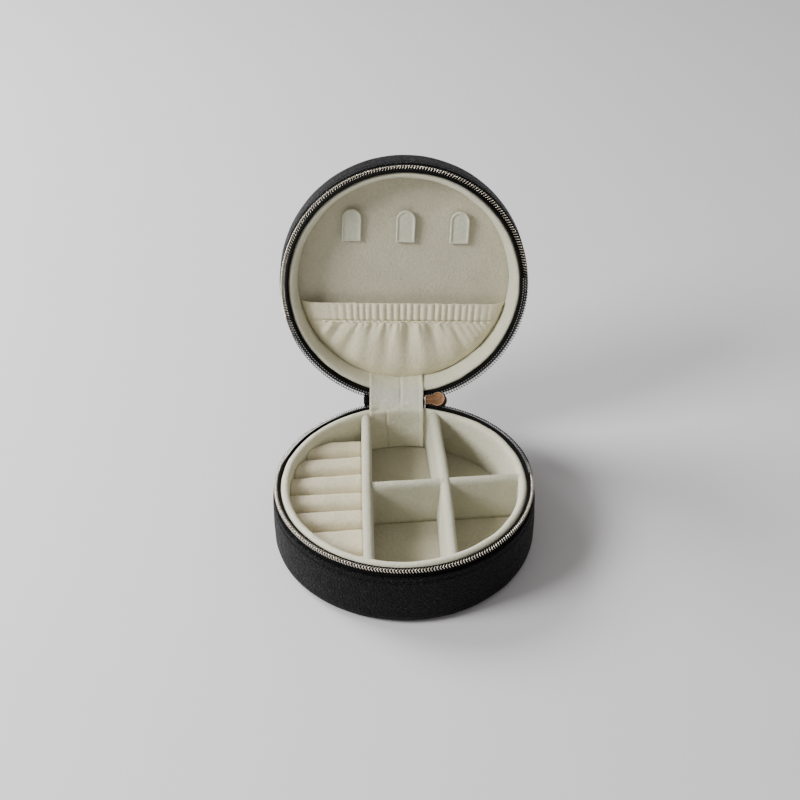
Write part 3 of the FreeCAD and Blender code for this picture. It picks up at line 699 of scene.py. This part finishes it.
def zip_end():
    """The joined end of the zip behind the strap: dark coil turns on a short strip of tape."""
    start, end = 78.4, 107.3
    outline = rounded([(51.6, 26.75, 0.15), (52.0, 26.75, 0.15), (52.0, 30.05, 0.15), (51.6, 30.05, 0.15)], 2)
    points, faces = lathe(outline, 30, start, end - start)
    piece("zip_end_tape", points, faces, "zip_end", TAPE, ZIP_OPEN, ["zip_joined_end"])
    shape, faces = coil_turn(1.0, 1.6, 0.5)
    count = 22
    angles = [start + (end - start) * (k + 0.5) / count for k in range(count)]
    points, faces = strewn(shape, faces, [stand(angle, 52.0, z) for angle in angles for z in (27.6, 29.2)])
    piece("zip_end_turns", points, faces, "zip_end", DARK_COIL, ZIP_OPEN)


# ---------------------------------------------------------------- slider


def plate_outline(inset):
    """The slider's plate seen from inside, drawn in by an inset: a rounded head on a narrower tail."""
    centre, radius, tail, half = 1.2, 3.3 - inset, -4.7 + inset, 2.35 - inset
    meet = math.asin(half / radius)
    waist = 2.1 - inset
    points = []
    for k in range(25):
        a = math.pi - meet - (TAU - 2 * meet) * k / 24
        points.append((centre + radius * math.cos(a), radius * math.sin(a)))
    start = centre - radius * math.cos(meet)
    for k in range(1, 8):
        t = k / 8
        points.append((start + (tail - start) * t, -half + (half - waist) * math.sin(math.pi * t)))
    for k in range(7):
        points.append((tail, -half + 2 * half * k / 6))
    for k in range(1, 8):
        t = 1 - k / 8
        points.append((start + (tail - start) * t, half - (half - waist) * math.sin(math.pi * t)))
    return points


def wrapped(radius, outline):
    """A flat outline (x, z) bent onto a cylinder about Z, at the slider's height."""
    return [(radius * math.sin(x / radius), radius * math.cos(x / radius), MATING + z) for x, z in outline]


def plate(rings):
    """A plate bent round the case, from (inset, radius) rings, with both faces closed."""
    rows = [wrapped(radius, plate_outline(inset)) for inset, radius in rings]
    return np.array(rows).reshape(-1, 3), tube_faces(len(rows), len(rows[0]))


def gathered(parts):
    """Several (points, faces) as one."""
    points, faces = [], []
    for some, others in parts:
        base = len(points)
        points.extend(some)
        faces.extend(tuple(base + k for k in face) for face in others)
    return points, faces


def slider():
    """Two rounded plates joined by a post, with the bridge that carries the pull, and a lighter raised rim
    with a centre ridge.
    """
    inner = plate([(0.5, 51.1), (0.15, 51.05), (0.0, 50.9), (0.0, 50.78), (0.15, 50.63), (0.5, 50.6),
                   (1.2, 50.66)])
    outer = plate([(0.5, 53.4), (0.15, 53.45), (0.0, 53.6), (0.0, 53.95), (0.15, 54.15), (0.6, 54.22),
                   (1.2, 54.24)])
    post = rod([(2.5, y, MATING) for y in np.linspace(50.8, 53.7, 4)], 0.45)
    half = 2.65         # half the bridge's length
    arch = [(x, 55.25 + 1.15 * (1 - (x / half) ** 4) ** 0.5, MATING)
            for x in np.linspace(-half, half, 25)[1:-1]]
    arch = [(-half, 53.9, MATING), (-half, 54.6, MATING), *arch, (half, 54.6, MATING), (half, 53.9, MATING)]
    points, faces = gathered([inner, outer, post, rod(arch, 0.5)])
    piece("slider_cast_body", points, faces, "slider", ROSE, SLIDER_PLACE, ["slider_body"])
    rim = wrapped(50.56, plate_outline(0.42))
    ridge = wrapped(50.62, [(x, 0.0) for x in np.linspace(-3.9, 2.6, 12)])
    points, faces = gathered([rod(rim + rim[:1], 0.17, 8), rod(ridge, 0.13, 8)])
    piece("slider_light_rim", points, faces, "slider", ROSE_EDGE, SLIDER_PLACE)


# ---------------------------------------------------------------- lid lining


def lid_lining():
    """The padded ring round the mouth and the panel behind it."""
    outline = swelling([
        (45.2, 39.7), (45.3, 37.4), (45.65, 34.6), (46.2, 32.2), (46.95, 30.7), (47.9, 30.15), (48.65, 30.6),
        (49.05, 32.0), (49.1, 34.5), (49.1, 37.0), (49.0, 39.6), (47.2, 39.9)])
    points, faces = lathe(outline, 300)
    points = ripple(ripple(points, 0.14, 5.0, 20.0), 0.34, 14.0, 20.5)
    ring = piece("lid_velvet_ring", points, faces, "lid", CREAM_RIM, LID_OPEN, ["lid_padded_ring"])
    outline = rounded([(0.05, 40.0, 0.01), (45.8, 40.0, 0.3), (45.8, 41.8, 0.3), (0.05, 41.8, 0.01)], 3)
    points, faces = lathe(closer(outline, 2.0), 200)
    points = ripple(points, 0.16, 9.0, 21.0)
    piece("lid_velvet_panel", points, faces, "lid", CREAM_PANEL, LID_OPEN, ["lid_panel"])


def tab_outline(inset, height):
    """The tab's outline, drawn in by an inset: an arch on a straight foot, as (x, thickness, rise)."""
    half = 4.05 - inset
    spring = 14.1 - 4.05
    points = [(-half, height, inset + (spring - inset) * k / 8) for k in range(8)]
    turns = [math.pi * k / 20 for k in range(21)]
    points += [(-half * math.cos(a), height, spring + half * math.sin(a)) for a in turns]
    points += [(half, height, spring - (spring - inset) * k / 8) for k in range(1, 9)]
    points += [(half - 2 * half * k / 7, height, inset) for k in range(1, 7)]
    return points


def tabs():
    """Three necklace tabs with a pressed border.  They stand off the panel at the free end."""
    rings = ((0.35, 0.6), (0.0, 0.4), (0.0, -0.35), (0.12, -0.56), (0.32, -0.68), (0.62, -0.68),
             (0.84, -0.50), (1.0, -0.36), (1.6, -0.34), (2.6, -0.42))
    for side, x in (("left", -22.8), ("middle", 0.0), ("right", 22.8)):
        rows = [tab_outline(inset, height) for inset, height in rings]
        points = ripple(np.array(rows).reshape(-1, 3), 0.05, 3.0, 30.0 + x)
        faces = tube_faces(len(rows), len(rows[0]))
        foot = Matrix.Translation((x, -16.9, 39.1)) @ Matrix.Rotation(math.radians(94), 4, "X")
        name = f"tab_{side}"
        piece(f"tab_velvet_{side}", points, faces, name, CREAM_TAB, TAB_ROW @ foot, [name])


def pocket_height(x, y):
    """How far the pocket's cloth stands off the panel: pleats in its hem, and folds fanning out below."""
    edge = max(0.0, POCKET_RADIUS - math.hypot(x, y))
    below = max(0.0, y - STITCH_LINE)
    puff = 0.35 + 4.4 * (1 - math.exp(-edge / (1.7 + 0.14 * below)))
    line = x / (1 + 0.026 * below)
    wander = 0.30 * noise.noise(Vector((line / 9, 3.0, 0))) + 0.006 * (x - 4.0) * (y - POCKET_MOUTH) / 8
    pleat = 0.5 + 0.5 * math.cos(TAU * (line / PLEAT_PITCH + wander))
    pleat = pleat ** 0.65 - 0.55
    pleat *= 0.36 * (1 + 0.5 * noise.noise(Vector((line / 4, 11.0, 0)))) * hump(x, -27.0, 34.0, 12.0)
    grip = 1 - 0.55 * math.exp(-((y - POCKET_MOUTH) / 1.0) ** 2)
    free = min(1.0, edge / 4.0)
    height = puff + 2.0 * pleat * math.exp(-below / 2.4) * grip * free
    height -= 1.1 * math.exp(-((y - STITCH_LINE) / 0.65) ** 2) * free
    narrow = noise.noise(Vector((line / 2.3, below / 14, 7.0))) * math.exp(-below / 6.0)
    broad = noise.noise(Vector((line / 4.6, below / 30, 9.0))) * math.exp(-below / 17.0)
    spread = 1 - math.exp(-below / 1.8)
    return height + (1.6 * narrow + 2.5 * broad) * spread * free


def pocket():
    """The stretch pocket: one sheet gathered along its elastic hem and sewn in round the edge."""
    rows, columns = 120, 340
    points = []
    for i in range(rows):
        y = POCKET_MOUTH + (POCKET_RADIUS - 0.25 - POCKET_MOUTH) * (i / (rows - 1))
        half = math.sqrt(POCKET_RADIUS ** 2 - y * y)
        for j in range(columns):
            x = half * (2 * j / (columns - 1) - 1)
            sag = 0.25 * noise.noise(Vector((x / 4.0, 1.0, 2.0))) if i == 0 else 0.0
            points.append((x, y + sag, PANEL - pocket_height(x, y)))
    cloth = piece("pocket_cloth_gathered", points, grid_faces(rows, columns), "lid", CREAM_CLOTH,
                  POCKET_PLACE, ["pocket_cloth", "pocket_hem"])
    solid = cloth.modifiers.new("thickness", "SOLIDIFY")
    solid.thickness = 0.5 * MM
    solid.offset = 0
    shape, faces = capsule(1.35, 0.62, 0.6)
    places = []
    for k in range(-12, 13):
        x = (k + 0.5) * PLEAT_PITCH + 0.2 * noise.noise(Vector((k * 1.3, 0, 0)))
        y = STITCH_LINE + 0.1 + 0.25 * noise.noise(Vector((k * 0.7, 5, 0)))
        lean = about_axis(9 * noise.noise(Vector((k * 1.9, 9, 0))))
        places.append(Matrix.Translation((x, y, PANEL - pocket_height(x, y + 0.5) - 1.15)) @ lean)
    points, all_faces = strewn(shape, faces, places)
    stitches = piece("pocket_stitches", points, all_faces, "lid", CREAM_THREAD, POCKET_PLACE)


# ---------------------------------------------------------------- hinge


def across_fold(name, base_path, lid_path, edges, columns, thick, crease, material, replaces):
    """A flexible strip across the hinge: (radius, height) paths on the base and on the lid, joined by a fold.

    edges are the x of its two sides.  crease gives its creases, as a rise off the surface.
    """
    def along_wall(path, x, place):
        return moved(place, [(x, math.sqrt(r * r - x * x), z) for r, z in path])

    across = np.linspace(*edges, columns)
    rows = []
    for x in across:
        low = along_wall(base_path, x, None)
        high = along_wall(lid_path, x, LID_OPEN)
        start, end = low[-1], high[0]
        ease = np.linalg.norm(end - start) * 0.45
        out = (low[-1] - low[-3]) / np.linalg.norm(low[-1] - low[-3])
        back = (high[2] - high[0]) / np.linalg.norm(high[2] - high[0])
        fold = []
        for k in range(1, 8):
            t = k / 8
            fold.append((1 - t) ** 3 * start + 3 * t * (1 - t) ** 2 * (start + out * ease)
                        + 3 * t * t * (1 - t) * (end - back * ease) + t ** 3 * end)
        rows.append(np.vstack([low, fold, high]))
    grid = np.array(rows)
    steps = grid.shape[1]
    points = ripple(grid.reshape(-1, 3), 0.14, 5.0, 40.0).reshape(grid.shape)
    if crease:
        for i, x in enumerate(across):
            for j in range(steps):
                points[i, j] += crease(x, j / (steps - 1)) * np.array([0.0, -0.6, 0.8])
    strip = piece(name, points, grid_faces(columns, steps), None, material)
    solid = strip.modifiers.new("thickness", "SOLIDIFY")
    solid.thickness = thick * MM
    solid.offset = 0
    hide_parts(*replaces)
    return strip, grid


def smooth_path(points, gap=0.8):
    """A path through points, with its corners eased and its steps no longer than gap."""
    path = np.array(points, float)
    for _ in range(3):
        cut = [path[0]]
        for here, there in zip(path, path[1:]):
            cut.append(here * 0.75 + there * 0.25)
            cut.append(here * 0.25 + there * 0.75)
        cut.append(path[-1])
        path = np.array(cut)
    steps = np.linalg.norm(np.diff(path, axis=0), axis=1)
    along = np.concatenate([[0], np.cumsum(steps)])
    wanted = np.linspace(0, along[-1], max(2, math.ceil(along[-1] / gap)))
    return np.column_stack([np.interp(wanted, along, path[:, k]) for k in range(2)])


def strap_crease(x, along):
    """The strap's pressed creases and folded edges, as a rise off its surface."""
    def line(at, width):
        return math.exp(-((x - at) / width) ** 2)

    def length(start, end):
        return 1 / (1 + math.exp((start - along) * 40)) / (1 + math.exp((along - end) * 40))

    hems = 0.16 * (line(-12.2, 0.9) + line(9.6, 0.9)) - 0.14 * line(8.5, 0.3)
    low = -0.75 * line(-5.6, 0.45) * length(-0.2, 0.47)
    low -= 0.35 / (1 + math.exp((x + 5.6) * 4)) * length(-0.2, 0.47)
    high = -0.55 * line(0.6, 0.45) * length(0.60, 0.92)
    high -= 0.25 / (1 + math.exp((x - 0.6) * 4)) * length(0.60, 1.2)
    fold = math.exp(-((along - 0.555) / 0.035) ** 2)
    across = -0.8 * math.exp(-((along - 0.535 - 0.0006 * x) / 0.010) ** 2)
    across -= 0.6 * math.exp(-((along - 0.572 + 0.0009 * x) / 0.008) ** 2)
    across += 1.1 * fold * noise.noise(Vector((x / 3.5, along * 60, 2.0)))
    across += 0.16 * noise.noise(Vector((x / 5.0, along * 9, 6.0)))
    return hems + low + high + across


def hinge():
    """The lining strap inside and the leather strip outside, built across the fold with the lid open."""
    base_path = smooth_path([(46.0, FLOOR + 0.1), (46.0, 20.0), (45.9, 26.6), (46.6, 28.5), (48.0, 28.6)])
    lid_path = smooth_path([(48.0, 29.2), (47.0, 29.6), (45.7, 32.8), (44.9, 36.8), (44.75, 39.6)])
    strap, grid = across_fold("strap_lining", base_path, lid_path, (-12.9, 10.3), 60, 0.55, strap_crease,
                              STRAP, ["hinge_strap_base", "hinge_strap_lid"])
    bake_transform(strap)
    base_path = smooth_path([(53.75, 9.0), (53.9, 20.0), (53.85, 27.6)])
    lid_path = smooth_path([(53.1, 32.2), (53.2, 38.0), (53.1, 42.5)])
    strip, grid = across_fold("hinge_leather_strip", base_path, lid_path, (-15.0, 11.2), 40, 0.8, None, BLACK,
                              ["hinge_leather_base", "hinge_leather_lid"])
    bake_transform(strip)


# ---------------------------------------------------------------- scene


def carried_over():
    """CAD nodes whose shape is right get their materials."""
    looks = {"base_bottom_board": BOARD, "base_wall_board": BOARD, "lid_top_board": BOARD,
             "lid_wall_board": BOARD, "base_foam_pad": FOAM, "lid_foam_pad": FOAM, "pull_ring": ROSE,
             "pull_tab": ROSE}
    for name, look in looks.items():
        node = frame["nodes"][name]
        if not node.material_slots:
            node.data.materials.append(look)
        for holder in node.material_slots:
            holder.material = look


def floor():
    """The pale floor."""
    half = 3.0
    below = -0.0001
    corners = [(-half, -half, below), (half, -half, below), (half, half, below), (-half, half, below)]
    mesh = bpy.data.meshes.new("floor")
    mesh.from_pydata(corners, [], [(0, 1, 2, 3)])
    look = Look("floor_paper", 0.85, Specular_IOR_Level=0.2)
    look.colour(look.blend(look.noise(30, 4), (0.69, 0.68, 0.695), (0.67, 0.66, 0.675)))
    mesh.materials.append(look.material)
    obj = bpy.data.objects.new("floor", mesh)
    bpy.context.scene.collection.objects.link(obj)


def area_light(name, place, target, size, power, colour):
    """A soft light aimed at a point, in metres."""
    light = bpy.data.lights.new(name, "AREA")
    light.shape = "DISK"
    light.size = size
    light.energy = power
    light.color = colour
    obj = bpy.data.objects.new(name, light)
    obj.location = place
    obj.rotation_euler = (Vector(target) - Vector(place)).to_track_quat("-Z", "Y").to_euler()
    bpy.context.scene.collection.objects.link(obj)


def lights():
    """Window light from the left, from two windows side by side, with a weak even fill."""
    case = (0.0, 0.03, 0.03)
    area_light("window_back", (-0.84, 0.55, 0.74), case, 0.6, 18.5, (0.98, 0.99, 1.0))
    area_light("window_front", (-0.80, -0.22, 0.62), case, 0.4, 12.4, (1.0, 0.995, 0.98))
    world = bpy.data.worlds.new("studio")
    world.use_nodes = True
    world.node_tree.nodes["Background"].inputs["Color"].default_value = (1.0, 0.975, 0.95, 1)
    world.node_tree.nodes["Background"].inputs["Strength"].default_value = 0.41
    bpy.context.scene.world = world


def camera():
    """The camera, where the case is seen from above and slightly to the left."""
    right = Vector((0.99925, -0.03805, -0.00667))
    ahead = Vector((0.02641, 0.79894, -0.60083))
    up = right.cross(ahead).normalized()
    right = ahead.cross(up).normalized()
    lens = bpy.data.cameras.new("camera")
    lens.sensor_width = 36
    lens.lens = 58.5
    lens.clip_start = 0.01
    obj = bpy.data.objects.new("camera", lens)
    turn = Matrix((right, up, -ahead)).transposed().to_4x4()
    obj.matrix_world = Matrix.Translation(Vector((-14.55, -400.79, 369.65)) * MM) @ turn
    bpy.context.scene.collection.objects.link(obj)
    bpy.context.scene.camera = obj


base_leather()
lid_leather()
underside()
base_lining()
dividers()
ring_rolls()
zip_halves()
zip_end()
slider()
lid_lining()
tabs()
pocket()
hinge()
carried_over()
floor()
lights()
camera()
